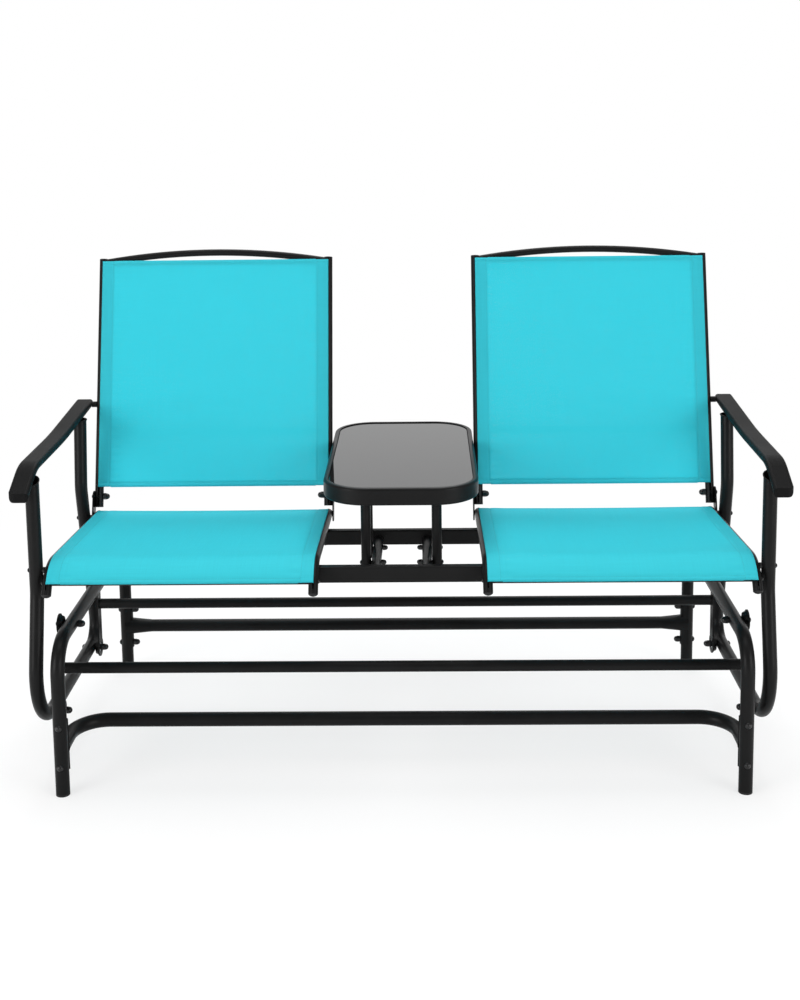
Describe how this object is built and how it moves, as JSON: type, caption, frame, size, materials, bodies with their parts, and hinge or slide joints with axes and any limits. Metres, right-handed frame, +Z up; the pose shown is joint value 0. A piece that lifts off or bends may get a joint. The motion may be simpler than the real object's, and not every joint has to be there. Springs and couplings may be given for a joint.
{
  "type": "glider loveseat",
  "caption": "Outdoor glider with mesh sling seats either side of a glass-topped table, hung on swinging links over a bent-tube base.",
  "frame": {"origin": "on the floor, under the middle of the overall box", "axes": "+X across the seats to the right as seen from the front, +Y from front to back, +Z up"},
  "size_m": [1.469, 0.6978, 0.9863],
  "materials": {
    "frame": "satin black powder coat",
    "armrest": "satin black powder coat",
    "sling": "open turquoise mesh with stitched hems",
    "glass": "polished tinted glass",
    "plugs": "moulded, matte",
    "fasteners": "black oxide",
    "bearings": "ground steel",
    "pads": "soft, matte"
  },
  "bodies": {
    "base": {"base_frame_left": "frame", "base_frame_right": "frame", "front_crossbar": "frame", "rear_crossbar": "frame", "crossbar_saddles": "frame", "foot_plugs": "plugs", "crossbar_bolts": "fasteners", "upper_pivot_bolts": "fasteners"},
    "front_swing": {"front_link_left": "frame", "front_link_right": "frame", "front_swing_tube": "frame", "front_bearings": "bearings"},
    "rear_swing": {"rear_link_left": "frame", "rear_link_right": "frame", "rear_swing_tube": "frame", "rear_bearings": "bearings"},
    "seat": {"arm_frame_left": "frame", "arm_frame_right": "frame", "arm_seat_bolts": "fasteners", "armrest_left": "armrest", "armrest_right": "armrest", "back_brackets": "frame", "back_spreader_screws": "fasteners", "back_stubs": "frame", "back_tube_plugs": "plugs", "bracket_bolts": "fasteners", "cross_rail_caps": "plugs", "cross_rail_screws": "fasteners", "front_cross_rail": "frame", "glass_pads": "pads", "left_back_arch": "frame", "left_back_inner_tube": "frame", "left_back_outer_tube": "frame", "left_back_sling": "sling", "left_back_spreader": "frame", "left_seat_inner_rail": "frame", "left_seat_outer_rail": "frame", "left_seat_sling": "sling", "left_seat_spreader": "frame", "lower_pivot_bolts": "fasteners", "rear_cross_rail": "frame", "right_back_arch": "frame", "right_back_inner_tube": "frame", "right_back_outer_tube": "frame", "right_back_sling": "sling", "right_back_spreader": "frame", "right_seat_inner_rail": "frame", "right_seat_outer_rail": "frame", "right_seat_sling": "sling", "right_seat_spreader": "frame", "seat_rail_plugs": "plugs", "seat_spreader_bolts": "fasteners", "stub_bolts": "fasteners", "table_glass": "glass", "table_post_bolts": "fasteners", "table_posts": "frame", "table_rail_left": "frame", "table_rail_right": "frame", "table_rim": "frame", "table_support_bars": "frame"}
  },
  "joints": [
    {"name": "front_swing_hinge", "type": "hinge", "parent": "base", "child": "front_swing", "pos_m": [0, -0.21405, 0.298], "axis": [1, 0, 0], "range_deg": [-18, 18]},
    {"name": "rear_swing_hinge", "type": "hinge", "parent": "base", "child": "rear_swing", "pos_m": [0, 0.10995, 0.298], "axis": [1, 0, 0], "range_deg": [-18, 18]},
    {"name": "seat_hinge", "type": "hinge", "parent": "front_swing", "child": "seat", "pos_m": [0, -0.21405, 0.1175], "axis": [1, 0, 0], "range_deg": [-18, 18]}
  ],
  "couplings": [
    {"joint": "rear_swing_hinge", "follows": "front_swing_hinge", "ratio": 1},
    {"joint": "seat_hinge", "follows": "front_swing_hinge", "ratio": -1}
  ]
}
